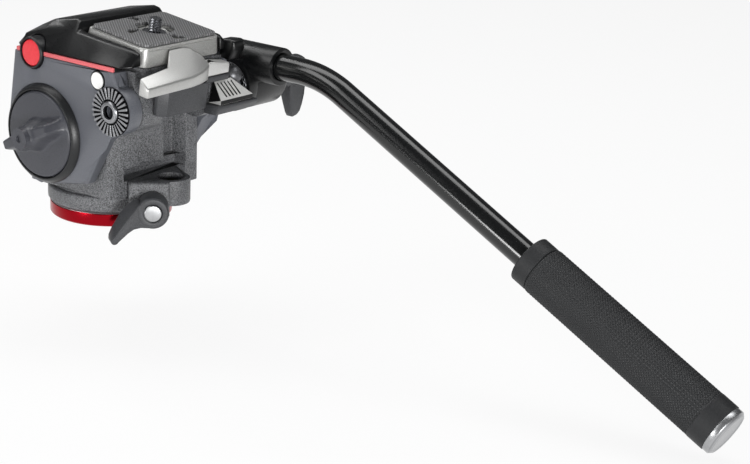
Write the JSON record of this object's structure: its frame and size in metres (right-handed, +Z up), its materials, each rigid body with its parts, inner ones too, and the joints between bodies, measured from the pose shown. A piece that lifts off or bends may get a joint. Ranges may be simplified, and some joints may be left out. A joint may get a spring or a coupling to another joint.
{
  "type": "two-way fluid video head with pan bar",
  "caption": "Two-way pan and tilt fluid head for a tripod, with a quick release camera plate, a tilt lock knob, a pan lock and a bent pan bar with a long grip.",
  "frame": {"origin": "centre of the base's lower face, on the pan axis", "axes": "+Z up along the pan axis, +X along the tilt axis towards the pan bar's side, +Y ahead along the lens, so the user stands on the -Y side"},
  "size_m": [0.1506, 0.3557, 0.1521],
  "materials": {
    "red_anodised": "red anodised, polished edge",
    "machined_aluminium": "turned",
    "brass": "turned",
    "steel": "machined",
    "spring_steel": "drawn wire",
    "black_casting": "die cast, fine black wrinkle paint",
    "satin_cheek": "die cast, satin dark grey paint",
    "black_polymer": "moulded, fine grain",
    "white_polymer": "moulded, plain",
    "salmon_trim": "moulded trim",
    "red_enamel": "glossy, plain",
    "silver_casting": "die cast, silver paint",
    "grey_rubber": "moulded, ribbed",
    "level_fluid": "clear vial with coloured fluid",
    "black_tube": "drawn tube, black anodised",
    "grip_rubber": "moulded, diamond knurl"
  },
  "bodies": {
    "base": {"base_ring": "red_anodised", "base_hub": "machined_aluminium", "thread_bush": "brass", "pan_bolt": "steel", "pan_nut": "steel", "drag_washer": "brass"},
    "pan_body": {"pan_casting": "black_casting", "level_cup": "brass", "level_vial": "level_fluid", "tilt_bush_left": "brass", "tilt_bush_right": "brass", "tilt_fluid_cartridge": "machined_aluminium", "counterbalance_spring": "spring_steel", "pan_lock_cotter": "brass"},
    "pan_lock": {"pan_lock_knob": "black_polymer", "pan_lock_screw": "steel", "pan_knob_cap": "machined_aluminium"},
    "tilt_platform": {"tilt_shaft": "steel", "left_cheek": "satin_cheek", "right_cheek": "satin_cheek", "tilt_collar": "black_polymer", "right_cover": "black_polymer", "left_stripe_front": "salmon_trim", "left_stripe_rear": "salmon_trim", "right_stripe": "salmon_trim", "badge_disc": "red_enamel", "badge_collar": "black_polymer", "label_disc": "white_polymer", "bonnet": "black_casting", "platform_frame": "black_casting", "left_rosette": "steel", "right_rosette": "steel", "lever_housing": "black_casting", "lever_pin": "steel", "lever_spring": "spring_steel", "selector_base": "black_polymer", "selector_boss": "steel"},
    "tilt_lock": {"tilt_knob": "black_polymer", "tilt_knob_screw": "steel"},
    "plate": {"quick_plate": "black_casting", "rubber_pad": "grey_rubber"},
    "plate_screw": {"camera_screw": "steel", "d_ring": "steel"},
    "lever": {"release_lever": "silver_casting"},
    "catch": {"safety_catch": "silver_casting"},
    "selector": {"drag_selector": "silver_casting"},
    "bar_mount": {"bar_clamp": "black_casting", "clamp_rosette": "steel", "clamp_bolt": "steel"},
    "bar_knob": {"clamp_knob": "black_polymer"},
    "bar": {"pan_bar": "black_tube", "grip": "grip_rubber", "grip_cap": "silver_casting"}
  },
  "joints": [
    {"name": "pan", "type": "hinge", "parent": "base", "child": "pan_body", "pos_m": [0, 0, 0], "axis": [0, 0, 1], "continuous": true},
    {"name": "tilt", "type": "hinge", "parent": "pan_body", "child": "tilt_platform", "pos_m": [0, 0.0062, 0.0446], "axis": [1, 0, 0], "range_deg": [-90, 25]},
    {"name": "pan_lock_turn", "type": "hinge", "parent": "pan_body", "child": "pan_lock", "pos_m": [0.01414, -0.01414, 0.0137], "axis": [-0.7071, -0.7071, 0], "range_deg": [-20, 120]},
    {"name": "tilt_lock_turn", "type": "hinge", "parent": "tilt_platform", "child": "tilt_lock", "pos_m": [0, 0.0062, 0.0446], "axis": [-1, 0, 0], "range_deg": [-60, 90]},
    {"name": "plate_lift", "type": "slide", "parent": "tilt_platform", "child": "plate", "axis": [0, -0.1253, 0.9921], "range_m": [0, 0.03]},
    {"name": "camera_screw_turn", "type": "hinge", "parent": "plate", "child": "plate_screw", "pos_m": [0, -0.0295, 0.096], "axis": [0, -0.1253, 0.9921], "continuous": true},
    {"name": "lever_turn", "type": "hinge", "parent": "tilt_platform", "child": "lever", "pos_m": [0, -0.05629, 0.09262], "axis": [0, -0.1253, 0.9921], "range_deg": [0, 75], "stiffness_Nm_per_rad": 0.02},
    {"name": "catch_push", "type": "slide", "parent": "tilt_platform", "child": "catch", "axis": [0, 0.9921, 0.1253], "range_m": [0, 0.0016], "stiffness_N_per_m": 300},
    {"name": "selector_slide", "type": "slide", "parent": "tilt_platform", "child": "selector", "axis": [1, 0, 0], "range_m": [-0.0015, 0.0015]},
    {"name": "bar_angle", "type": "hinge", "parent": "tilt_platform", "child": "bar_mount", "pos_m": [0, -0.0397, 0.0637], "axis": [1, 0, 0], "continuous": true},
    {"name": "bar_knob_turn", "type": "hinge", "parent": "bar_mount", "child": "bar_knob", "pos_m": [0, -0.0397, 0.0637], "axis": [1, 0, 0], "continuous": true},
    {"name": "bar_roll", "type": "hinge", "parent": "bar_mount", "child": "bar", "pos_m": [0.051, -0.04, 0.0755], "axis": [0, 1, 0], "continuous": true}
  ]
}
